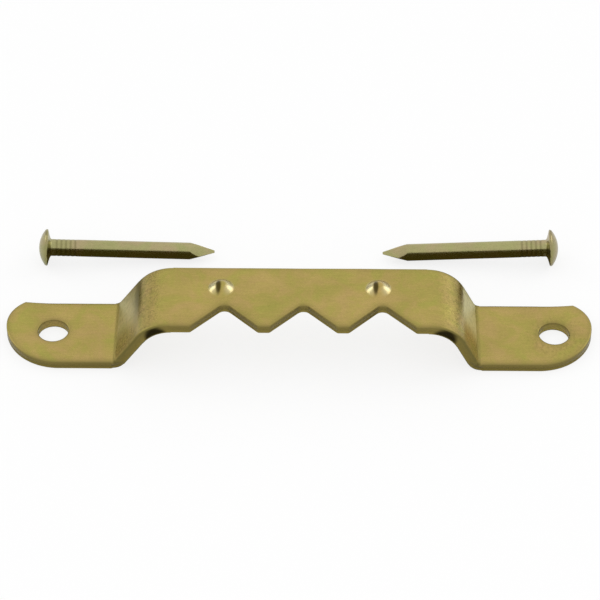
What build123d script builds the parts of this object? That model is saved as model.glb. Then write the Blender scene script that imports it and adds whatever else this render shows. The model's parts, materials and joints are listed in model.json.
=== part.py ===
from build123d import *
from math import atan2, cos, degrees, radians, sin, tan
import os

# Sawtooth hanger in millimetres: one stamped and bent strip, and the two loose nails that fix it.
# The strip lies on its mounting plane, z = 0. The origin is midway between the two nail holes.
# The toothed edge looks towards -Y, the plain edge towards +Y, and the raised bar towards +Z.

# Strip
strip_length = 44.45
strip_width = 6.35
sheet = 0.8
edge_roll = 0.12

# Nail holes, which are not quite in the middle of the cropped strip
hole_diameter = 2.3
hole_to_plain_edge = 3.0
hole_to_left_end = 3.6
hole_to_right_end = 2.9

# Side view, measured between the corners where the middle lines of the straight stretches meet
left_ear_length = 8.6
left_web_run = 2.6
right_ear_length = 8.95
right_web_run = 1.9
bar_underside = 3.8
ear_bend_radius = 0.3
bar_bend_radius = 2.4

# Ear ends: a large arc on the toothed side, and a smaller one that meets the plain edge at a corner
toothed_side_radius = 4.2
corner_sweep = 58.0
corner_flare = 0.14
flare_length = 2.4

# Tooth row: square notches with narrow lands between them, as many as the bar has room for
tooth_pitch = 5.9
notch_angle = 90.0
tip_land = 0.85
root_radius = 0.6
tip_radius = 0.2

# Pips: two low round bumps pushed up from below, above the outer notches and a little to their left
pip_diameter = 2.0
pip_height = 0.46
pip_to_plain_edge = 2.3
pip_shift = -0.3

# Nails: drawn wire with a domed head, grip rings under it and a four-sided point
nail_length = 12.7
wire_diameter = 1.32
head_diameter = 2.86
dome_height = 0.52
rim_height = 0.16
cone_height = 0.28
point_length = 1.95
point_flat = 0.18
grip_count = 5
grip_pitch = 0.36
grip_depth = 0.03
grip_start = 0.4

# Where each nail lies: how far its rim is outside the hole beside it and behind the plain edge, and
# how far it has rolled about its own axis, which leaves one flat of the point up and to the front
left_nail_outside = 1.14
left_nail_behind = 5.6
left_nail_turn = 2.45
right_nail_outside = 0.26
right_nail_behind = 5.89
right_nail_turn = 0.95
nail_roll = 45.0

# Worked out from the sizes above
hole_spacing = strip_length - hole_to_left_end - hole_to_right_end
toothed_edge = hole_to_plain_edge - strip_width
left_end = -hole_spacing / 2 - hole_to_left_end
right_end = left_end + strip_length
left_ear_corner = left_end + left_ear_length
left_bar_corner = left_ear_corner + left_web_run
right_ear_corner = right_end - right_ear_length
right_bar_corner = right_ear_corner - right_web_run
bar_top = bar_underside + sheet
notch_count = int((right_bar_corner - left_bar_corner) / tooth_pitch)
notch_half = (tooth_pitch - tip_land) / 2
notch_depth = notch_half / tan(radians(notch_angle / 2))
head_radius = head_diameter / 2
wire_radius = wire_diameter / 2
rim_to_tip = rim_height + cone_height + nail_length


def side_view():
    """The strip seen from its toothed edge: the line through the middle of the sheet, thickened."""
    ear_level = sheet / 2
    bar_level = bar_underside + sheet / 2
    middle = FilletPolyline(
        (left_end, ear_level),
        (left_ear_corner, ear_level),
        (left_bar_corner, bar_level),
        (right_bar_corner, bar_level),
        (right_ear_corner, ear_level),
        (right_end, ear_level),
        radius=[
            ear_bend_radius + sheet / 2,
            bar_bend_radius + sheet / 2,
            bar_bend_radius + sheet / 2,
            ear_bend_radius + sheet / 2,
        ],
    )
    return trace(middle, line_width=sheet)


def around(centre, radius, angle, side):
    """The point at an angle on a circle, for the right-hand end, or its mirror image for the left."""
    x, y = centre
    return (x + side * radius * cos(radians(angle)), y + radius * sin(radians(angle)))


def ear_end(end, side):
    """The edges round one end of the strip, from the toothed edge to the plain edge."""
    level = toothed_edge + toothed_side_radius
    large = (end - side * toothed_side_radius, level)
    corner_radius = (hole_to_plain_edge + corner_flare - level) / sin(radians(corner_sweep))
    small = (end - side * corner_radius, level)
    corner = around(small, corner_radius, corner_sweep, side)
    flare_start = (corner[0] - side * flare_length, hole_to_plain_edge)
    return [
        ThreePointArc(
            around(large, toothed_side_radius, -90, side),
            around(large, toothed_side_radius, -45, side),
            around(large, toothed_side_radius, 0, side),
        ),
        ThreePointArc(
            around(small, corner_radius, 0, side),
            around(small, corner_radius, corner_sweep / 2, side),
            corner,
        ),
        TangentArc(flare_start, corner, tangent=(side, 0)),
    ]


def notch_middle(k):
    """How far along the strip the middle of notch k is, counted from the left."""
    return (k - (notch_count - 1) / 2) * tooth_pitch


def tooth_row():
    """The corners along the toothed edge: each notch's two mouths and its root, from the left."""
    corners = []
    for k in range(notch_count):
        middle = notch_middle(k)
        corners.append((middle - notch_half, toothed_edge))
        corners.append((middle, toothed_edge + notch_depth))
        corners.append((middle + notch_half, toothed_edge))
    return corners


def plan_view():
    """The strip seen from above: its ends, its plain edge and its tooth row."""
    left = ear_end(left_end, -1)
    right = ear_end(right_end, 1)
    corners = tooth_row()
    near = Polyline(left[0] @ 0, *corners, right[0] @ 0)
    far = Line(left[2] @ 0, right[2] @ 0)
    plan = make_face(left + right + [near, far])
    row_reach = corners[-1][0] + tip_land / 2
    root_level = toothed_edge + notch_depth
    in_row = plan.vertices().filter_by_position(Axis.X, -row_reach, row_reach)
    mouths = in_row.filter_by_position(Axis.Y, toothed_edge, toothed_edge + tip_radius)
    plan = fillet(mouths, tip_radius)
    in_row = plan.vertices().filter_by_position(Axis.X, -row_reach, row_reach)
    roots = in_row.filter_by_position(Axis.Y, root_level - tip_radius, root_level)
    return fillet(roots, root_radius)


def hole_prism():
    """The two nail holes as one pair of pins, longer than the sheet is thick."""
    return GridLocations(hole_spacing, 0, 2, 1) * Cylinder(hole_diameter / 2, sheet * 3)


def roll_edges(plate):
    """Rounds the punched side's edges, which the punches have drawn in a little."""
    upper = ShapeList([f for f in plate.faces() if f.normal_at().Z > 0.1])
    walls = ShapeList([f for f in plate.faces() if abs(f.normal_at().Z) < 0.001])
    wall_edges = walls.edges()
    rim = ShapeList([e for e in upper.edges() if e in wall_edges])
    return fillet(rim, edge_roll)


def raise_pips(plate):
    """Raises the bar's two pips: a round-nosed punch pushes the sheet up and leaves a hollow below."""
    half = pip_diameter / 2
    dome_radius = (half**2 + pip_height**2) / (2 * pip_height)
    level = hole_to_plain_edge - pip_to_plain_edge
    centre = bar_top + pip_height - dome_radius
    middle = bar_underside + sheet / 2
    above = Pos(0, 0, middle + strip_width / 2) * Box(strip_width, strip_width, strip_width)
    for x in (notch_middle(0) + pip_shift, notch_middle(notch_count - 1) + pip_shift):
        dome = Pos(x, level, centre) * Sphere(dome_radius)
        plate += dome & (Pos(x, level, 0) * above)
        plate -= Pos(x, level, centre) * Sphere(dome_radius - sheet)
    return plate


def make_plate():
    """The strip: bent from the side view and cropped, notched and pierced to the plan view."""
    far_side = Plane.XZ.offset(-hole_to_plain_edge - corner_flare)
    bent = extrude(far_side * side_view(), amount=strip_width + corner_flare)
    cropped = bent & extrude(plan_view(), amount=bar_top)
    pierced = cropped - hole_prism()
    return raise_pips(roll_edges(pierced))


def nail_profile():
    """Half of a nail's outline along its axis, from the crown to where the point begins."""
    seat = rim_height + cone_height
    point_start = rim_to_tip - point_length
    crown = (-dome_height, 0)
    rim = (0, head_radius)
    dome_radius = (head_radius**2 + dome_height**2) / (2 * dome_height)
    half_angle = atan2(head_radius, dome_radius - dome_height) / 2
    shoulder = (
        -dome_height + dome_radius * (1 - cos(half_angle)),
        dome_radius * sin(half_angle),
    )
    dome = ThreePointArc(crown, shoulder, rim)
    shank = [(rim_height, head_radius), (seat, wire_radius)]
    for k in range(grip_count):
        middle = seat + grip_start + k * grip_pitch
        shank.append((middle - grip_pitch / 4, wire_radius))
        shank.append((middle, wire_radius - grip_depth))
        shank.append((middle + grip_pitch / 4, wire_radius))
    shank.append((point_start, wire_radius))
    rest = Polyline(rim, *shank, (point_start, 0), crown)
    return make_face([dome, rest])


def make_nail():
    """A nail along +X, its head's rim at zero: turned head and shank, and a pinched point."""
    turned = revolve(nail_profile(), Axis.X)
    start = Plane.YZ.offset(rim_to_tip - point_length)
    wire = extrude(start * Circle(wire_radius), amount=point_length)
    wide = start * Rectangle(wire_diameter, wire_diameter)
    narrow = start.offset(point_length) * Rectangle(point_flat, point_flat)
    return turned + (wire & loft([wide, narrow]))


def lay_nail(side, outside, behind, turn):
    """Lays a rolled nail on the mounting plane, head outwards.

    It rests on its rim, and where the last of the wire's underside runs out in the point.
    """
    roll = radians(nail_roll)
    left_round = (1 - max(cos(roll), sin(roll))) * wire_radius / (wire_radius - point_flat / 2)
    wire_end = rim_to_tip - point_length * (1 - left_round)
    tilt = degrees(atan2(head_radius - wire_radius, wire_end - rim_height))
    heading = turn if side < 0 else 180 - turn
    x = side * (hole_spacing / 2 + outside)
    y = hole_to_plain_edge + behind
    z = head_radius * cos(radians(tilt)) + rim_height * sin(radians(tilt))
    return Pos(x, y, z) * Rot(0, 0, heading) * Rot(0, tilt, 0) * Rot(nail_roll, 0, 0) * make_nail()


parts = {
    "sawtooth_plate": make_plate(),
    "left_nail": lay_nail(-1, left_nail_outside, left_nail_behind, left_nail_turn),
    "right_nail": lay_nail(1, right_nail_outside, right_nail_behind, right_nail_turn),
}

os.makedirs("parts", exist_ok=True)
for name, part in parts.items():
    export_step(part, f"parts/{name}.step")
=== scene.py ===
import json

import bpy
import numpy as np
from mathutils import Matrix, Vector


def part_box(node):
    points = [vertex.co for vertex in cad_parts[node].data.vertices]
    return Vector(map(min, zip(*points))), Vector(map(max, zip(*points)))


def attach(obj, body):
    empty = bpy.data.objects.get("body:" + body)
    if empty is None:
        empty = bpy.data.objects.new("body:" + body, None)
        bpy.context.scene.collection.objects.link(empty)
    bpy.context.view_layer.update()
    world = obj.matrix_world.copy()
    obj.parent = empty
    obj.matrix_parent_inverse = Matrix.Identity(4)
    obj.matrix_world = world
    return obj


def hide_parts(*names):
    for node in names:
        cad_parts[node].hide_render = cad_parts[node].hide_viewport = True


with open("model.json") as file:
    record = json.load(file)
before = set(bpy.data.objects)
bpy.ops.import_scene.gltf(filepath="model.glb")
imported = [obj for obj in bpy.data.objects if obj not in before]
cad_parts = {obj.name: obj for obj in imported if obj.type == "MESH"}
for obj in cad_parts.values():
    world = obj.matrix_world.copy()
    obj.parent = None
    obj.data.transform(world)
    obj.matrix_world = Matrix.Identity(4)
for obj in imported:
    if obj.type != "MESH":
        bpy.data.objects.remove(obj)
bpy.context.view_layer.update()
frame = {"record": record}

# The hanger strip. A length of cold-rolled steel is cropped, notched and pierced in one press,
# then bent so that the toothed bar stands off the two ears, with two pips, and plated in a barrel.
# It is worked out flat, as the blank was, and then carried through the four bends.
MM = 0.001
sheet, pip_height = 0.8 * MM, 0.46 * MM
strip_low, strip_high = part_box("sawtooth_plate")
mounts = {mount["name"]: mount for mount in frame["record"]["mounts"]}
left_hole = mounts["left_nail_hole"]["pos_m"][0]
right_hole = mounts["right_nail_hole"]["pos_m"][0]
hole_radius = mounts["left_nail_hole"]["dims"]["r_mm"] * MM
toothed_edge = strip_low.y
plain_edge = 3.0 * MM
corner_flare = strip_high.y - plain_edge
flare_length = 2.4 * MM
rise = strip_high.z - pip_height - sheet

left_ear_length, left_web_run = 8.6 * MM, 2.6 * MM
right_ear_length, right_web_run = 8.95 * MM, 1.9 * MM
ear_bend, bar_bend = 0.3 * MM + sheet / 2, 2.4 * MM + sheet / 2


def bend_stations(bar_corner, web_run, ear_length):
    """Distances along the blank, from mid bar outwards, where the bends of one end begin and stop.

    A bend of radius r that turns by a takes up r tan(a/2) of each straight beside it, and r a itself.
    """
    slope = np.arctan2(rise, web_run)
    bar_take, ear_take = bar_bend * np.tan(slope / 2), ear_bend * np.tan(slope / 2)
    web = np.hypot(rise, web_run) - bar_take - ear_take
    lengths = [bar_corner - bar_take, bar_bend * slope, web, ear_bend * slope, ear_length - ear_take]
    return np.cumsum(lengths), slope


left_stops, left_slope = bend_stations(-strip_low.x - left_ear_length - left_web_run, left_web_run,
                                       left_ear_length)
right_stops, right_slope = bend_stations(strip_high.x - right_ear_length - right_web_run, right_web_run,
                                         right_ear_length)
stations = np.concatenate([-left_stops[::-1], right_stops])
headings = np.array([0, 0, left_slope, left_slope, 0, 0, -right_slope, -right_slope, 0, 0])

# The middle line of the sheet: its heading turns evenly through each bend, and its place is the
# running sum of the heading's cosine and sine.
fine_count = 40001
fine = np.linspace(stations[0], stations[-1], fine_count)
fine_heading = np.interp(fine, stations, headings)
between = (fine_heading[1:] + fine_heading[:-1]) / 2
fine_x = strip_low.x + np.concatenate([[0], np.cumsum(np.diff(fine) * np.cos(between))])
fine_z = sheet / 2 + np.concatenate([[0], np.cumsum(np.diff(fine) * np.sin(between))])
fine_curl = np.gradient(fine_heading, fine)
swell_share, swell_most = 0.35, 0.08


def carry(s, y, h):
    """The point of the bent strip at s along the blank, y across it and h above its middle line.

    It lies on the middle line at s, pushed h along the line's normal (minus sine, cosine of the
    heading). Where the strip curls, the squeezed side of its edges swells outwards, by a share of
    the curl times h, up to a limit, and that fades within one sheet's thickness of the edge.
    """
    heading = np.interp(s, fine, fine_heading)
    curl = np.interp(s, fine, fine_curl)
    near, far = np.exp(-(y - toothed_edge) / sheet), np.exp(-(plain_edge - y) / sheet)
    swell = np.clip(swell_share * curl * h, -swell_most, swell_most) * sheet
    x = np.interp(s, fine, fine_x) - np.sin(heading) * h
    z = np.interp(s, fine, fine_z) + np.cos(heading) * h
    return np.stack([x, y + swell * (far - near), z], axis=-1)


tooth_pitch, tip_land = 5.9 * MM, 0.85 * MM
notch_half = (tooth_pitch - tip_land) / 2
root_radius, tip_radius = 0.6 * MM, 0.2 * MM


def near_edge(s):
    """How far across the toothed edge lies at s: three square notches with round roots and tips.

    With m the distance from the nearest notch's middle, a flank rises by notch_half minus m. The
    root is a circle tangent to both flanks, and each tip a circle tangent to flank and land.
    """
    m = np.abs(s - tooth_pitch * np.clip(np.round(s / tooth_pitch), -1, 1))
    root_top = notch_half - np.sqrt(2) * root_radius
    tip_take = tip_radius * np.tan(np.pi / 8)
    root = root_top + np.sqrt(np.clip(root_radius**2 - m**2, 0, None))
    tip = tip_radius - np.sqrt(np.clip(tip_radius**2 - (m - notch_half - tip_take) ** 2, 0, None))
    in_root = m < root_radius * np.cos(np.pi / 4)
    on_flank = m < notch_half - tip_take * np.cos(np.pi / 4)
    in_tip = m < notch_half + tip_take
    return toothed_edge + np.select([in_root, on_flank, in_tip], [root, notch_half - m, tip], 0)


large_radius, corner_sweep = 4.2 * MM, np.radians(58)
tip_level = toothed_edge + large_radius
corner_radius = (plain_edge + corner_flare - tip_level) / np.sin(corner_sweep)
ear_patch = 3.4 * MM
near_count, large_count, close_count, back_count, rest_count = 24, 56, 26, 22, 20


def ear_outline(end, side, cut):
    """The outline round one ear in flat coordinates, from the cut on the toothed edge to the plain edge.

    A straight, a quarter circle of the large radius, an arc of the smaller one, and a parabola that
    comes back from the flared corner to the plain edge.
    """
    reach = side * (end - cut)
    near = np.linspace(0, reach - large_radius, near_count, endpoint=False)
    turn = np.linspace(-np.pi / 2, 0, large_count, endpoint=False)
    close = np.linspace(0, corner_sweep, close_count, endpoint=False)
    corner = reach - corner_radius + corner_radius * np.cos(corner_sweep)
    back = np.linspace(0, 1, back_count, endpoint=False)
    rest = np.linspace(corner - flare_length, 0, rest_count)
    along = np.concatenate([near, reach - large_radius + large_radius * np.cos(turn),
                            reach - corner_radius + corner_radius * np.cos(close),
                            corner - flare_length * back, rest])
    across = np.concatenate([np.full(near.shape, toothed_edge), tip_level + large_radius * np.sin(turn),
                             tip_level + corner_radius * np.sin(close),
                             plain_edge + corner_flare * (1 - back) ** 2, np.full(rest.shape, plain_edge)])
    return cut + side * along, across


left_hole_at = stations[0] + (left_hole - strip_low.x)
right_hole_at = stations[-1] - (strip_high.x - right_hole)
left_cut, right_cut = left_hole_at + ear_patch, right_hole_at - ear_patch

# Stations of the columns between the ears: closer together in the bends and the tooth row.
span_count, column_count = 4001, 380
more_in_bends, more_in_teeth, teeth_reach = 1.2, 1.0, 8.8 * MM
span = np.linspace(left_cut, right_cut, span_count)
in_bend = np.abs(np.interp(span, fine, fine_curl)) > 0
density = 1 + more_in_bends * in_bend + more_in_teeth * (np.abs(span) < teeth_reach)
share = np.concatenate([[0], np.cumsum((density[1:] + density[:-1]) / 2)])
columns = np.interp(np.linspace(0, share[-1], column_count), share, span)

# Rows across: a few close to each edge for the rolled-in rim, and an even spread between them.
rim_steps = np.array([0, 0.012, 0.03, 0.055, 0.09, 0.135, 0.19, 0.26]) * MM
row_count, line_count = 50, 16


def edge_spread(count):
    """Steps and shares from one edge to the other: the rim steps, count points evenly, the rim steps."""
    even = np.linspace(0, 1, count + 2)[1:-1]
    step = np.concatenate([rim_steps, rim_steps[-1] * (1 - 2 * even), -rim_steps[::-1]])
    return step, np.concatenate([0 * rim_steps, even, 0 * rim_steps + 1])


row_step, row_share = edge_spread(row_count)
near = near_edge(columns)
web_s = np.repeat(columns[:, None], len(row_step), axis=1)
web_y = near[:, None] + row_step + (plain_edge - near[:, None]) * row_share


def ear_grid(end, side, hole_at, column_y):
    """The flat grid of one ear: lines from the hole's rim out to the outline, all round.

    Each line runs from the rim point that faces an outline point to that point, and its steps are
    close together at both ends, as in the rows between the ears.
    """
    cut = hole_at - side * ear_patch
    s, y = ear_outline(end, side, cut)
    s = np.concatenate([s, np.full(len(column_y) - 1, cut)])
    y = np.concatenate([y, column_y[::-1][1:]])
    angle = np.arctan2(y, s - hole_at)
    rim_s, rim_y = hole_at + hole_radius * np.cos(angle), hole_radius * np.sin(angle)
    length = np.hypot(s - rim_s, y - rim_y)[:, None]
    step, line_share = edge_spread(line_count)
    t = (step + length * line_share) / length
    return rim_s[:, None] + (s - rim_s)[:, None] * t, rim_y[:, None] + (y - rim_y)[:, None] * t


left_s, left_y = ear_grid(stations[0], -1, left_hole_at, web_y[0])
right_s, right_y = ear_grid(stations[-1], 1, right_hole_at, web_y[-1])

# The whole outline, once round: toothed edge, right ear, plain edge, left ear.
left_out, right_out = ear_outline(stations[0], -1, left_cut), ear_outline(stations[-1], 1, right_cut)
outline_s = np.concatenate([columns, right_out[0][1:], columns[::-1][1:], left_out[0][::-1][1:-1]])
outline_y = np.concatenate([near, right_out[1][1:], np.full(len(columns) - 1, plain_edge),
                            left_out[1][::-1][1:-1]])
points_at_once = 3000


def edge_distance(s, y):
    """Distance from each flat point to the nearest edge, of the outline or of a nail hole.

    A hole's is the distance from its centre less its radius. The outline's is the least of the
    distances to its straight pieces, each to the nearest point at a share t along the piece.
    """
    a = np.stack([outline_s, outline_y], axis=-1)
    b = np.roll(a, -1, axis=0) - a
    nearest = np.minimum(np.abs(np.hypot(s - left_hole_at, y) - hole_radius),
                         np.abs(np.hypot(s - right_hole_at, y) - hole_radius)).ravel()
    points = np.stack([s.ravel(), y.ravel()], axis=-1)
    size = (b**2).sum(-1)
    for chunk in np.array_split(np.arange(len(points)), max(1, len(points) // points_at_once)):
        gap = points[chunk, None, :] - a
        t = np.clip((gap * b).sum(-1) / size, 0, 1)
        away = np.hypot(gap[..., 0] - t * b[:, 0], gap[..., 1] - t * b[:, 1])
        nearest[chunk] = np.minimum(nearest[chunk], away.min(axis=1))
    return nearest.reshape(s.shape)


# The relief of the two faces: the rims rolled in by the press or tumbled round, the pips and the
# sheet's waviness. Then the cut wall, which tore in its lower part.
roll_width, roll_depth = 0.2 * MM, 0.11 * MM
tumbled = 0.045 * MM
pip_half, pip_shift = 1.0 * MM, -0.3 * MM
pip_y = plain_edge - 2.3 * MM
pip_middles = (-tooth_pitch + pip_shift, tooth_pitch + pip_shift)
wave_height = 0.004 * MM
wall_rows, torn_from, torn_depth, torn_roughness = 11, 0.45, 0.03 * MM, 0.22


def rounding(distance, width, depth):
    """How far a rim has dropped: a quarter ellipse of that width and depth, nothing further in."""
    return depth * (1 - np.sqrt(1 - np.clip(1 - distance / width, 0, 1) ** 2))


def raised(s, y):
    """Height of the two pips over the flat, steep at the side and softened at the foot.

    It is one minus the 2.5th power of the share of the half width, all to the power 1.5.
    """
    height = 0 * s
    for middle in pip_middles:
        share = np.hypot(s - middle, y - pip_y) / pip_half
        height = height + pip_height * np.clip(1 - share**2.5, 0, None) ** 1.5
    return height


def unevenness(s, y):
    """The slight waviness of tumbled sheet: four long sines across and along, summed."""
    s, y = s / MM, y / MM
    return wave_height * (3.2 + np.sin(s * 0.9 + 1.3) + np.sin(s * 0.47 + y * 0.8)
                          + 0.7 * np.sin(y * 1.3 - s * 0.3 + 2.1) + 0.5 * np.sin(s * 2.1 - y * 1.7 + 0.4))


def upper_face(s, y, gap):
    """Height of the punched side above the middle line: half the sheet, its rim drawn in, and the pips."""
    return sheet / 2 - rounding(gap, roll_width, roll_depth) + raised(s, y) - unevenness(s, y)


def lower_face(s, y, gap):
    """Height of the far side: half the sheet down, its rim knocked round, hollow under the pips."""
    return -sheet / 2 + rounding(gap, tumbled, tumbled) + raised(s, y)


def cut_wall(s, y, high, low, inward_s, inward_y):
    """The cut edge as a grid: round the outline, and down from the rolled rim to the lower face.

    The shorn upper half is straight. Below it the metal tore, so the wall draws in by a few
    hundredths, as a flattened half sine, roughened by three short sines, and comes back out to the
    lower rim.
    """
    down = np.linspace(0, 1, wall_rows)
    torn = np.clip((down - torn_from) / (1 - torn_from), 0, 1)
    draw = np.sin(torn * np.pi) ** 0.7 * torn_depth
    along = np.cumsum(np.hypot(np.diff(s, append=s[:1]), np.diff(y, append=y[:1])))[:, None] / MM
    rough = np.sin(along * 9.1 + 3 * down) + np.sin(along * 17.3 - 5 * down + 1) + np.sin(along * 31.7 + 2)
    inset = draw * (1 + torn_roughness * rough)
    inset[:, [0, -1]] = 0
    h = high[:, None] + (low - high)[:, None] * down
    return s[:, None] + inward_s[:, None] * inset, y[:, None] + inward_y[:, None] * inset, h


def inward(s, y):
    """Unit vectors at a quarter turn to the left of a closed line, which point into the metal."""
    ds, dy = np.roll(s, -1) - np.roll(s, 1), np.roll(y, -1) - np.roll(y, 1)
    length = np.hypot(ds, dy)
    return -dy / length, ds / length


def patch_faces(rows, cols, closed, flip, start):
    """Corner numbers of a grid's four-sided faces; closed joins the last row to the first."""
    count = rows if closed else rows - 1
    r, c = np.meshgrid(np.arange(count), np.arange(cols - 1), indexing="ij")
    a, b = r * cols + c, (r + 1) % rows * cols + c
    quads = np.stack([a, b, b + 1, a + 1], axis=-1).reshape(-1, 4)
    return start + (quads[:, ::-1] if flip else quads)


weld = 0.00002 * MM


def solid_from_patches(name, patches):
    """A closed mesh from grids of (points, closed, flip, fields), whose shared edges are merged.

    Points that round to one place, in steps of weld, become one, and a face that loses a corner by
    it is a triangle.
    """
    points, faces, fields, start = [], [], [], 0
    for grid, closed, flip, values in patches:
        rows, cols = grid.shape[:2]
        faces.append(patch_faces(rows, cols, closed, flip, start))
        points.append(grid.reshape(-1, 3))
        fields.append(values.reshape(rows * cols, -1))
        start += rows * cols
    points, faces, fields = np.concatenate(points), np.concatenate(faces), np.concatenate(fields)
    rounded = np.round(points / weld).astype(np.int64)
    _, first, number = np.unique(rounded, axis=0, return_index=True, return_inverse=True)
    corners = number.ravel()[faces]
    whole = (corners != np.roll(corners, 1, axis=1)).all(axis=1)
    triangles = [list(dict.fromkeys(row)) for row in corners[~whole].tolist()]
    triangles = [row for row in triangles if len(row) == 3]
    mesh = bpy.data.meshes.new(name)
    mesh.from_pydata(points[first].tolist(), [], corners[whole].tolist() + triangles)
    mesh.update()
    mesh.polygons.foreach_set("use_smooth", np.ones(len(mesh.polygons), bool))
    return mesh, fields[first]


def store(mesh, label, kind, values):
    """Keeps one number or vector for each point of a mesh under a label that materials can read."""
    layer = mesh.attributes.new(label, kind, "POINT")
    layer.data.foreach_set("value" if kind == "FLOAT" else "vector", values.astype(np.float32).ravel())


def ramp(value, start, stop):
    """Nothing before start, one after stop, and a smooth S between them."""
    t = np.clip((value - start) / (stop - start), 0, 1)
    return t * t * (3 - 2 * t)


# How far the wear and the painted light and shade reach: in from a rim, across the webs, up towards
# the bar, and about the line where the bar's left bend ends. Then how the painted shade of the cut
# walls grows through a bend.
rim_fade = 0.18 * MM
sheen_near, sheen_far, sheen_steep, sheen_on_left = -2.2 * MM, 0.2 * MM, 0.9, 0.5
sheen_less_low, sheen_less_high, sheen_less_share = 3.2 * MM, 4.0 * MM, 0.8
dark_line_half, dark_line_near, dark_line_far, dark_line_least = 0.5 * MM, -2.6 * MM, 1.0 * MM, 0.25
wedge_lag, wedge_start, wedge_stop = 0.7, 0.1, 0.6


def bend_wear_and_shade(s, y, h, z, cut):
    """What the bends do to the metal and its coat, and the light and shade painted about them: steep, the
    webs' sheen, bend, the walls' shade and the dark line.

    Steep is the heading as a share of its web's slope. The webs' sheen is a painted reflection, on a
    coat that stretching left duller: a ramp of steep near one, times a ramp across to the far half,
    less towards the bar and less on the left. Bend is a half sine of steep, positive in the bar's
    bends and negative in the ears'. The walls' shade is painted shade on the cut walls: a ramp of
    bend there, which lags more the higher in the sheet, so that it tapers. The dark line is a painted
    dark reflection: a bell curve about the top line of the left web, times a ramp across.
    """
    left = s < 0
    steep = np.abs(np.interp(s, fine, fine_heading)) / np.where(left, left_slope, right_slope)
    across = ramp(y, sheen_near, sheen_far) * (1 - sheen_less_share * ramp(z, sheen_less_low, sheen_less_high))
    thinned_and_sheen = np.where(left, sheen_on_left, 1) * ramp(steep, sheen_steep, 1) * across
    bend = -np.sign(np.interp(s, fine, fine_curl)) * np.sin(np.pi * np.clip(steep, 0, 1))
    wedge_shade = cut * ramp(bend - wedge_lag * (0.5 + h / sheet), wedge_start, wedge_stop)
    # A dark line about the top of the left web: a painted dark reflection.
    dark_line = left * (h > 0) * np.exp(-(((-s - left_stops[1]) / dark_line_half) ** 2))
    dark_line = dark_line * (dark_line_least + (1 - dark_line_least) * ramp(y, dark_line_near, dark_line_far))
    return steep, thinned_and_sheen, bend, wedge_shade, dark_line


# A tall dark spot on each pip: a painted dark reflection.
dark_spot_left, dark_spot_low, dark_spot_wide, dark_spot_tall = 0.2 * MM, 0.15 * MM, 0.22 * MM, 0.68 * MM
dark_spot_full, dark_spot_end = 0.6, 1.2
ring_at, ring_half, nonzero = 0.65, 0.35, 1e-9
scuff_low, scuff_full, scuff_end = 0.5 * MM, 1.3 * MM, 2.9 * MM


def surface_marks(s, y, h):
    """Marks on the punched side: a dark spot and glints painted on the pips as shade and highlights, and
    scuffed round the right hole.

    The dark spot is a tall oval left of a pip's middle, a painted dark reflection. The glints are a
    ring within the pip's rim, times the squared cosine of the angle from the strip's length: painted
    highlights on the pip's left and right flanks. Scuffed is a round patch that fades outwards.
    """
    pip_dark_spot, pip_glint = 0 * s, 0 * s
    for middle in pip_middles:
        away = np.hypot(s - middle, y - pip_y) + nonzero
        ring = np.clip(1 - ((away / pip_half - ring_at) / ring_half) ** 2, 0, 1)
        pip_glint = pip_glint + ring * ((s - middle) / away) ** 2
        oval = np.hypot((s - middle + dark_spot_left) / dark_spot_wide, (y - pip_y + dark_spot_low) / dark_spot_tall)
        pip_dark_spot = pip_dark_spot + 1 - ramp(oval, dark_spot_full, dark_spot_end)
    scuffed = 1 - ramp(np.hypot(s - right_hole_at, y + scuff_low), scuff_full, scuff_end)
    return (h > 0) * pip_dark_spot, (h > 0) * pip_glint, (h > 0) * scuffed


wear_and_shade_labels = ("rim", "cut", "steep", "thinned_and_sheen", "bend", "wedge_shade", "dark_line", "pip_dark_spot", "pip_glint", "scuffed")


def strip_patch(s, y, h, gap, cut):
    """One grid of the strip: its points in place, and the flat place, the wear and the painted light and
    shade at each.

    Rim fades exponentially with the gap to the upper rim, and cut is one on the torn walls.
    """
    place = carry(s, y, h)
    wear_and_shade_values = [np.exp(-gap / rim_fade), np.full(s.shape, cut)]
    wear_and_shade_values += [*bend_wear_and_shade(s, y, h, place[..., 2], cut), *surface_marks(s, y, h)]
    return place, np.stack([s, y, h, *wear_and_shade_values], axis=-1)


outline_in = inward(outline_s, outline_y)
patches = []
for s, y, closed, flip in ((web_s, web_y, False, False), (left_s, left_y, True, False),
                           (right_s, right_y, True, True)):
    gap = edge_distance(s, y)
    for face, turned in ((upper_face, False), (lower_face, True)):
        grid, values = strip_patch(s, y, face(s, y, gap), gap, 0)
        patches.append((grid, closed, flip != turned, values))
loops = [(outline_s, outline_y, *outline_in, True, 1)]
for s, y, hole_at, flip in ((left_s[:, 0], left_y[:, 0], left_hole_at, True),
                            (right_s[:, 0], right_y[:, 0], right_hole_at, False)):
    loops.append((s, y, (s - hole_at) / hole_radius, y / hole_radius, flip, 0))
for s, y, in_s, in_y, flip, torn in loops:
    gap = edge_distance(s, y)
    wall_s, wall_y, wall_h = cut_wall(s, y, upper_face(s, y, gap), lower_face(s, y, gap), in_s, in_y)
    grid, values = strip_patch(wall_s, wall_y, wall_h, wall_h[:, :1] - wall_h, torn)
    patches.append((grid, True, flip, values))

strip_mesh, strip_fields = solid_from_patches("sawtooth_strip", patches)
store(strip_mesh, "blank", "FLOAT_VECTOR", strip_fields[:, :3] / MM)
for number, label in enumerate(wear_and_shade_labels, 3):
    store(strip_mesh, label, "FLOAT", strip_fields[:, number])
strip = bpy.data.objects.new("sawtooth_strip", strip_mesh)
bpy.context.scene.collection.objects.link(strip)
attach(strip, "hanger")
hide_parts("sawtooth_plate")


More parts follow.
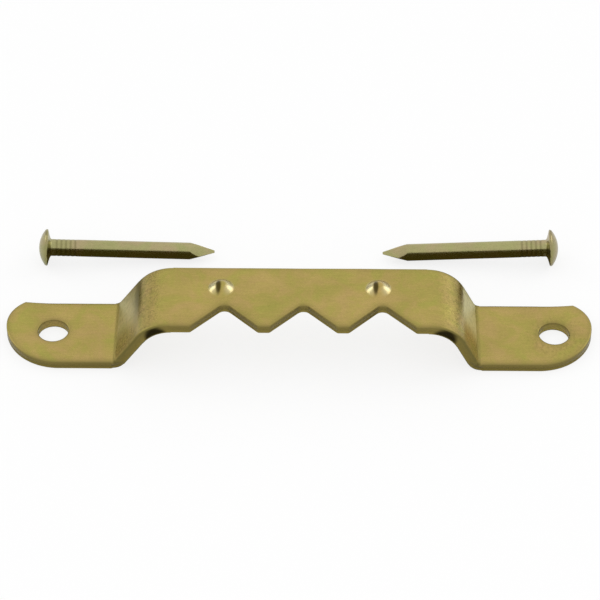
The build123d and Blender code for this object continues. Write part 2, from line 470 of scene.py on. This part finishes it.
# The finish. Bright brass-coloured plating goes on in a tumbling barrel, so it is satin rather than
# polished: clouded pink and green where the coat is thinner, with drawing lines and a fine speckle.
def add(tree, kind, inputs=(), **settings):
    """Puts one node in a tree, with its settings, and links or sets the inputs that are given."""
    node = tree.nodes.new(kind)
    for label, value in settings.items():
        setattr(node, label, value)
    for label, value in dict(inputs).items():
        if isinstance(value, bpy.types.NodeSocket):
            tree.links.new(value, node.inputs[label])
        else:
            node.inputs[label].default_value = value
    return node


def calculate(tree, operation, *values):
    """The result of one step of arithmetic on two or three values."""
    return add(tree, "ShaderNodeMath", dict(enumerate(values)), operation=operation).outputs[0]


def spread(tree, value, start, stop, low=0.0, high=1.0):
    """A value carried evenly from between start and stop to between low and high, and held there."""
    limits = {1: start, 2: stop, 3: low, 4: high}
    return add(tree, "ShaderNodeMapRange", {"Value": value, **limits}).outputs[0]


def stretched(tree, place, stretch):
    """A place with each of its directions multiplied by its own number."""
    return add(tree, "ShaderNodeVectorMath", {0: place, 1: stretch}, operation="MULTIPLY").outputs[0]


def noise(tree, place, scale, detail, roughness=0.5, distortion=0.0):
    """A cloudy value about a half, with this many clouds to a millimetre."""
    look = {"Scale": scale, "Detail": detail, "Roughness": roughness, "Distortion": distortion}
    return add(tree, "ShaderNodeTexNoise", {"Vector": place, **look}).outputs["Fac"]


def over(tree, base, share, colour):
    """A base colour with another laid over it, as far as a share."""
    mix = add(tree, "ShaderNodeMix", {"Factor": share, 6: base, 7: colour}, data_type="RGBA")
    return mix.outputs[2]


plating = bpy.data.node_groups.new("barrel_plating", "ShaderNodeTree")
for label, kind, value in (("Place", "NodeSocketVector", None), ("Stretch", "NodeSocketVector", None),
                           ("Tint", "NodeSocketColor", (0.40, 0.318, 0.088, 1)),
                           ("Rosy Tint", "NodeSocketColor", (0.445, 0.318, 0.112, 1)),
                           ("Green Tint", "NodeSocketColor", (0.365, 0.325, 0.075, 1)),
                           ("Cloud Size", "NodeSocketFloat", 1.9),
                           ("Cloud Strength", "NodeSocketFloat", 0.95),
                           ("Smooth", "NodeSocketFloat", 0.18), ("Rough", "NodeSocketFloat", 0.3)):
    socket = plating.interface.new_socket(label, in_out="INPUT", socket_type=kind)
    if value is not None:
        socket.default_value = value
for label, kind in (("Color", "NodeSocketColor"), ("Roughness", "NodeSocketFloat"),
                    ("Relief", "NodeSocketFloat")):
    plating.interface.new_socket(label, in_out="OUTPUT", socket_type=kind)
given = add(plating, "NodeGroupInput").outputs
place = given["Place"]
cloud_scale = calculate(plating, "DIVIDE", 1.0, given["Cloud Size"])
cloud = noise(plating, place, scale=cloud_scale, detail=4.0, roughness=0.6, distortion=0.6)
veil = noise(plating, place, scale=0.31, detail=2.0)
speckle = noise(plating, place, scale=5.5, detail=3.0, roughness=0.7)
drawn = stretched(plating, place, given["Stretch"])
lines = noise(plating, drawn, scale=7.0, detail=4.0, roughness=0.65)
mixed = given["Tint"]
for mask, tint in ((spread(plating, cloud, 0.47, 0.68), "Rosy Tint"),
                   (spread(plating, cloud, 0.5, 0.32), "Green Tint")):
    share = calculate(plating, "MULTIPLY", mask, given["Cloud Strength"])
    mixed = over(plating, mixed, share, given[tint])
for value, darkest, lightest in ((speckle, 0.93, 1.06), (veil, 0.94, 1.06), (lines, 0.95, 1.05)):
    shade = spread(plating, value, 0.3, 0.7, darkest, lightest)
    mixed = add(plating, "ShaderNodeVectorMath", {0: mixed, "Scale": shade}, operation="SCALE").outputs[0]
both = calculate(plating, "ADD", speckle, lines)
gloss = spread(plating, both, 0.75, 1.25, given["Smooth"], given["Rough"])
relief = calculate(plating, "MULTIPLY_ADD", lines, 0.5, speckle)
add(plating, "NodeGroupOutput", {"Color": mixed, "Roughness": gloss, "Relief": relief})
relief_depth = 0.02 * MM


def plated(name, place, stretch, bump_strength, values=()):
    """A plated metal material, its tree and shader's inputs, and the plating's colour and roughness.

    Its pattern follows the attribute named by place, which is in millimetres.
    """
    material = bpy.data.materials.new(name)
    material.use_nodes = True
    tree = material.node_tree
    shader = tree.nodes["Principled BSDF"].inputs
    shader["Metallic"].default_value = 1.0
    where = add(tree, "ShaderNodeAttribute", attribute_name=place).outputs["Vector"]
    finish = add(tree, "ShaderNodeGroup", {"Place": where, "Stretch": stretch, **dict(values)},
                 node_tree=plating).outputs
    bump = add(tree, "ShaderNodeBump", {"Strength": bump_strength, "Distance": relief_depth,
                                        "Height": finish["Relief"]})
    tree.links.new(bump.outputs["Normal"], shader["Normal"])
    return material, tree, shader, finish["Color"], finish["Roughness"]


# The strip's own wear, and light and shade painted on it. On the webs the coat is stretched thin and
# crazed, so they are duller, and their paler colour is a painted reflection. The cut walls are torn
# steel under little coat, and their near-black in the bar's bends is painted shade.
strip_metal, tree, shader, colour, rough = plated("strip_plating", "blank", (0.12, 1.0, 1.0), 0.25)
wear_and_shade = {label: add(tree, "ShaderNodeAttribute", attribute_name=label).outputs["Fac"]
        for label in wear_and_shade_labels}

# Bent grows over the first half of a bend, and its upper rim there gets painted shade. The ears' bends
# get painted shade in their crook, and crazed is a fine crackle where the sheet is bent or scuffed.
bent = spread(tree, wear_and_shade["steep"], 0.1, 0.5)
bent_rim_shade = calculate(tree, "MULTIPLY", wear_and_shade["rim"], bent)
ear_crook_shade = spread(tree, wear_and_shade["bend"], 0.0, -1.0)
blank = add(tree, "ShaderNodeAttribute", attribute_name="blank").outputs["Vector"]
grain = noise(tree, stretched(tree, blank, (2.0, 1.1, 1.0)), scale=2.4, detail=3.0, roughness=0.65)
crazed = calculate(tree, "MAXIMUM", bent, wear_and_shade["scuffed"])
crazed = calculate(tree, "MULTIPLY", spread(tree, grain, 0.46, 0.62), crazed)

# Each layer in its order, of wear or of painted light and shade: how far it covers what is below, its
# colour, and how much duller.
# First the webs' paler colour, a painted reflection of the bright bench, on a coat that stretching left
# duller.
for mask, strength, tone, duller in ((wear_and_shade["thinned_and_sheen"], 1.0, (0.60, 0.55, 0.29), 0.2),
                                     (crazed, 0.3, (0.17, 0.145, 0.035), 0.0),
                                     (wear_and_shade["cut"], 1.0, (0.205, 0.162, 0.042), 0.0),
                                     # The dark line on the left web: a painted dark reflection.
                                     (wear_and_shade["dark_line"], 0.7, (0.13, 0.105, 0.03), 0.0),
                                     # The rolled rims darkened: painted shade.
                                     (wear_and_shade["rim"], 0.72, (0.22, 0.18, 0.06), 0.25),
                                     # The rims in the bends darkened further: painted shade.
                                     (bent_rim_shade, 0.75, (0.14, 0.12, 0.035), 0.0),
                                     # Pale flanks on the pips: painted highlights.
                                     (wear_and_shade["pip_glint"], 0.8, (0.70, 0.64, 0.40), 0.0),
                                     # The dark spot on each pip: a painted dark reflection.
                                     (wear_and_shade["pip_dark_spot"], 0.9, (0.035, 0.024, 0.005), 0.0),
                                     # The crook of the ears' bends darkened: painted shade.
                                     (ear_crook_shade, 0.5, (0.20, 0.165, 0.05), 0.2),
                                     # The near-black cut walls in the bar's bends: painted shade.
                                     (wear_and_shade["wedge_shade"], 0.95, (0.012, 0.009, 0.002), 0.3),
                                     (bent, 0.0, (0, 0, 0), 0.06)):
    if strength > 0:
        colour = over(tree, colour, calculate(tree, "MULTIPLY", mask, strength), (*tone, 1))
    if duller > 0:
        rough = calculate(tree, "MULTIPLY_ADD", mask, duller, rough)
tree.links.new(colour, shader["Base Color"])
tree.links.new(rough, shader["Roughness"])
strip_mesh.materials.append(strip_metal)


# The two hanger nails. Each is drawn steel wire with a headed dome, a few gripper rings under the
# head and a point pinched on four sides, plated in the same barrel. They lie loose on the bench.
nail_length, wire_radius, head_radius = 12.7 * MM, 0.66 * MM, 1.43 * MM
dome_height, rim_height, cone_height = 0.52 * MM, 0.16 * MM, 0.28 * MM
point_length, point_half, nail_roll = 1.95 * MM, 0.09 * MM, np.radians(45)
grip_count, grip_pitch, grip_depth, grip_start = 5, 0.36 * MM, 0.018 * MM, 0.4 * MM
rim_to_tip = rim_height + cone_height + nail_length

# A nail lies on its head's rim and on the last of the wire's underside, which runs out in the point.
left_round = (1 - np.cos(nail_roll)) * wire_radius / (wire_radius - point_half)
wire_end = rim_to_tip - point_length * (1 - left_round)
nail_tilt = np.arctan2(head_radius - wire_radius, wire_end - rim_height)

# Rings of points along a nail, and points round it.
dome_rings, rim_rings, cone_rings, wire_rings, point_rings, round_count = 30, 8, 12, 200, 50, 96
rim_soft = 0.05 * MM


def nail_profile():
    """Distance along a nail and radius at each ring, from the crown of the head to the tip.

    The dome is a circle's arc, the rim's two corners are rounded, a cone leads down to the wire,
    and each grip is a trough of one squared raised cosine. Past the point's start the radius stays,
    and nail_grid pinches it.
    """
    dome_radius = (head_radius**2 + dome_height**2) / (2 * dome_height)
    sweep = np.linspace(0, np.arctan2(head_radius, dome_radius - dome_height), dome_rings)
    dome_u, dome_r = -dome_height + dome_radius * (1 - np.cos(sweep)), dome_radius * np.sin(sweep)
    turn = np.linspace(np.pi / 3, -np.pi / 3, rim_rings)
    rim_u = (rim_height / 2) - np.sin(turn) * rim_height / 2
    rim_r = head_radius - rim_soft + rim_soft * np.cos(turn) / np.cos(turn).max()
    cone = np.linspace(0, 1, cone_rings)[1:]
    cone_u = rim_height + cone_height * cone
    cone_r = head_radius - (head_radius - wire_radius) * np.sin(cone * np.pi / 2) ** 0.9
    wire_u = np.linspace(rim_height + cone_height, rim_to_tip - point_length, wire_rings)[1:]
    grip = (wire_u - rim_height - cone_height - grip_start) / grip_pitch
    in_grip = (grip > -0.5) & (grip < grip_count - 0.5)
    wire_r = wire_radius - grip_depth * in_grip * (0.5 + 0.5 * np.cos(2 * np.pi * grip)) ** 2
    point_u = rim_to_tip - point_length * (1 - np.linspace(0, 1, point_rings)[1:])
    u = np.concatenate([dome_u[:-1], rim_u, cone_u, wire_u, point_u, point_u[-1:]])
    r = np.concatenate([dome_r[:-1], rim_r, cone_r, wire_r, np.full(point_u.shape, wire_radius), [0]])
    return u, r


out_of_round = 0.004
head_shade, head_rim_shade, head_rim_shade_from = 0.3, 0.3, 0.8


def nail_grid(seed):
    """A nail along +X as a grid, round its axis and along it, with its head's rim at zero, and how much
    painted shade each point gets: in the grips' troughs, and less so on the head, more towards its rim.

    The point is the wire inside a square that narrows to the tip: at each angle the radius is the
    smaller of the wire's and the square's half side over the larger of cosine and sine. Two slow
    waves round the wire leave it a little out of round.
    """
    u, r = nail_profile()
    angle = np.linspace(0, 2 * np.pi, round_count, endpoint=False)[:, None]
    turned = angle + nail_roll
    share = np.clip((u - (rim_to_tip - point_length)) / point_length, 0, 1)
    half_side = wire_radius + (point_half - wire_radius) * share
    pinched = half_side / np.maximum(np.abs(np.cos(turned)), np.abs(np.sin(turned)))
    radius = np.where(share > 0, np.minimum(r, pinched), r)
    along = u / MM
    lump = np.sin(3 * angle + seed) * np.sin(along * 1.7 + seed) + 0.6 * np.sin(angle + along * 0.9 + seed)
    radius = radius * (1 - out_of_round * (1 + lump) * (r > 0))
    nail_shade = np.clip((wire_radius - r) / grip_depth, 0, 1) * (share == 0)
    nail_shade = np.where(u > rim_height, nail_shade, head_shade + head_rim_shade * ramp(r / head_radius, head_rim_shade_from, 1))
    u, nail_shade = np.broadcast_to(u, radius.shape), np.broadcast_to(nail_shade, radius.shape)
    return np.stack([u, radius * np.cos(angle), radius * np.sin(angle)], axis=-1), nail_shade


nail_metal, tree, shader, colour, rough = plated("nail_plating", "wire", (0.1, 1.0, 1.0), 0.008, {
    "Tint": (0.385, 0.35, 0.165, 1), "Rosy Tint": (0.42, 0.338, 0.19, 1),
    "Green Tint": (0.35, 0.35, 0.145, 1), "Smooth": 0.26, "Rough": 0.3})
# The nail darkened by its painted shade: in the grips' troughs, over the head and most at its rim.
nail_shade = add(tree, "ShaderNodeAttribute", attribute_name="nail_shade").outputs["Fac"]
colour = over(tree, colour, calculate(tree, "MULTIPLY", nail_shade, 0.45), (0.10, 0.085, 0.025, 1))
tree.links.new(colour, shader["Base Color"])
tree.links.new(rough, shader["Roughness"])

# Each nail's node and body, its heading from crown to tip, and the number that sets its lumps and clouds.
nails = (("left_nail", "left_nail", np.radians(2.45), 0.4),
         ("right_nail", "right_nail", np.radians(180 - 0.95), 2.6))
for node, body, heading, seed in nails:
    grid, nail_shade = nail_grid(seed)
    lay = np.array(Matrix.Rotation(heading, 3, "Z") @ Matrix.Rotation(nail_tilt, 3, "Y"))
    placed = grid @ lay.T
    low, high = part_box(node)
    middle = (placed.reshape(-1, 3).min(axis=0) + placed.reshape(-1, 3).max(axis=0)) / 2
    placed = placed + (np.array(low + high) / 2 - middle)
    mesh, fields = solid_from_patches(node + "_wire", [(placed, True, False, np.dstack([grid, nail_shade]))])
    store(mesh, "wire", "FLOAT_VECTOR", fields[:, :3] / MM + seed * 10)
    store(mesh, "nail_shade", "FLOAT", fields[:, 3])
    mesh.materials.append(nail_metal)
    nail = bpy.data.objects.new(node + "_wire", mesh)
    bpy.context.scene.collection.objects.link(nail)
    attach(nail, body)
    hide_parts(node)


# The camera, at the photograph's angle: well above the toothed side, from a short distance, with a
# long lens, and a trace of turn and roll.
target = Vector((-0.30, 4.32, 0)) * MM
distance, elevation = 220 * MM, np.radians(43.2)
azimuth, camera_roll = np.radians(0.3), np.radians(0.16)
level = np.cos(elevation)
back = Vector((np.sin(azimuth) * level, -np.cos(azimuth) * level, np.sin(elevation)))
camera = bpy.data.objects.new("camera", bpy.data.cameras.new("camera"))
bpy.context.scene.collection.objects.link(camera)
camera.data.sensor_width = 36
camera.data.lens = 171.3
camera.data.clip_start, camera.data.clip_end = 10 * MM, 20.0
camera.rotation_mode = "QUATERNION"
rolled = Matrix.Rotation(camera_roll, 3, "Z").to_quaternion()
camera.rotation_quaternion = (-back).to_track_quat("-Z", "Y") @ rolled
camera.location = target + distance * back
bpy.context.scene.camera = camera

# The bench: a wide matt white sheet just under the ears. Most of what the camera sees of it is an even
# glow, so it shows white and keeps faint shadows, and what the metal mirrors of it glows a little.
half, drop = 3.0, -0.02 * MM
mirror_glow, camera_glow = 0.15, 0.65
floor_mesh = bpy.data.meshes.new("floor")
floor_mesh.from_pydata([(-half, -half, drop), (half, -half, drop), (half, half, drop), (-half, half, drop)],
                       [], [(0, 1, 2, 3)])
floor = bpy.data.objects.new("floor", floor_mesh)
bpy.context.scene.collection.objects.link(floor)
paper = bpy.data.materials.new("white_paper")
paper.use_nodes = True
tree = paper.node_tree
tree.nodes.clear()
matt = add(tree, "ShaderNodeBsdfDiffuse", {"Color": (0.9, 0.9, 0.9, 1)}).outputs[0]
glow = add(tree, "ShaderNodeEmission", {"Color": (1, 1, 1, 1), "Strength": 1.0}).outputs[0]
path = add(tree, "ShaderNodeLightPath").outputs
seen = calculate(tree, "MAXIMUM", path["Is Camera Ray"], path["Is Glossy Ray"])
seen = calculate(tree, "MAXIMUM", seen, path["Is Transmission Ray"])
share = calculate(tree, "MULTIPLY", seen, mirror_glow)
share = calculate(tree, "MULTIPLY_ADD", path["Is Camera Ray"], camera_glow, share)
surface = add(tree, "ShaderNodeMixShader", {"Fac": share, 1: matt, 2: glow})
add(tree, "ShaderNodeOutputMaterial", {"Surface": surface.outputs[0]})
floor_mesh.materials.append(paper)

# The studio: an even white surround, a soft box on either side and a little behind, and a grey and a
# brown card far behind that shade the two bends. A dim brown glowing card in front of each nail is
# painted shade: it gives the nail's lower half the dark side that it has beside the hanger.
world = bpy.data.worlds.new("surround")
bpy.context.scene.world = world
world.use_nodes = True
tree = world.node_tree
tree.nodes.clear()
surround = add(tree, "ShaderNodeBackground", {"Color": (1, 1, 1, 1), "Strength": 1.0})
add(tree, "ShaderNodeOutputWorld", {"Surface": surround.outputs[0]})


def soft_box(name, place, wide, high, power):
    """A rectangular lamp that faces the object and isn't seen by the camera itself."""
    lamp = bpy.data.lights.new(name, "AREA")
    lamp.shape = "RECTANGLE"
    lamp.size, lamp.size_y, lamp.energy = wide, high, power
    box = bpy.data.objects.new(name, lamp)
    box.location = place
    box.rotation_mode = "QUATERNION"
    box.rotation_quaternion = (-Vector(place)).to_track_quat("-Z", "Y")
    box.visible_camera = False
    bpy.context.scene.collection.objects.link(box)


soft_box("left_box", (-1.08, 0.57, 0.55), 0.55, 1.0, 2.0)
soft_box("right_box", (1.08, 0.57, 0.55), 0.7, 1.0, 2.5)


def card(name, shading, tone, corners, faces=((0, 1, 2, 3),)):
    """A card through corners that the camera doesn't see, with one plain shader of its tone."""
    board = bpy.data.materials.new(name)
    board.use_nodes = True
    board.node_tree.nodes.clear()
    plain = add(board.node_tree, shading, {"Color": (*tone, 1)})
    add(board.node_tree, "ShaderNodeOutputMaterial", {"Surface": plain.outputs[0]})
    mesh = bpy.data.meshes.new(name)
    mesh.from_pydata(corners, [], faces)
    mesh.materials.append(board)
    sheet = bpy.data.objects.new(name, mesh)
    sheet.visible_camera = False
    bpy.context.scene.collection.objects.link(sheet)
    return sheet


card("left_card", "ShaderNodeBsdfDiffuse", (0.62, 0.62, 0.62),
     [(-0.08, 0.15, 0), (-0.15, 0.11, 0), (-0.15, 0.11, 0.085), (-0.08, 0.15, 0.085)])
card("low_card", "ShaderNodeBsdfDiffuse", (0.13, 0.105, 0.028),
     [(0.03, 0.17, 0), (0.16, 0.07, 0), (0.16, 0.07, 0.013), (0.03, 0.17, 0.013)])

# Each shade card runs from under the head nearly to the tip: a strip on the bench, from a little behind
# the nail's axis to its front, and a wall there, higher at the head. Its dim glow, for the metal alone,
# is painted shade.
shade_card_start, shade_card_stop = 0.8 * MM, 13.0 * MM
shade_card_behind, shade_card_front, shade_card_heights = 0.8 * MM, -1.5 * MM, (2.4 * MM, 1.75 * MM)
for node, _, heading, _ in nails:
    low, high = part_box(node)
    along = np.array([np.cos(heading), np.sin(heading), 0])
    crown = np.array([low.x if along[0] > 0 else high.x, low.y + head_radius * np.cos(nail_tilt), 0])
    ends = [crown + along * shade_card_start, crown + along * shade_card_stop]
    corners = [tuple(end + np.array([0, shade_card_behind, 0])) for end in ends]
    corners += [tuple(end + np.array([0, shade_card_front, 0])) for end in ends]
    corners += [tuple(end + np.array([0, shade_card_front, height])) for end, height in zip(ends, shade_card_heights)]
    shade_card = card(node + "_tray", "ShaderNodeEmission", (0.085, 0.068, 0.018), corners,
                ((0, 1, 3, 2), (2, 3, 5, 4)))
    shade_card.visible_diffuse = shade_card.visible_shadow = False

bpy.context.scene.view_settings.view_transform = "Standard"
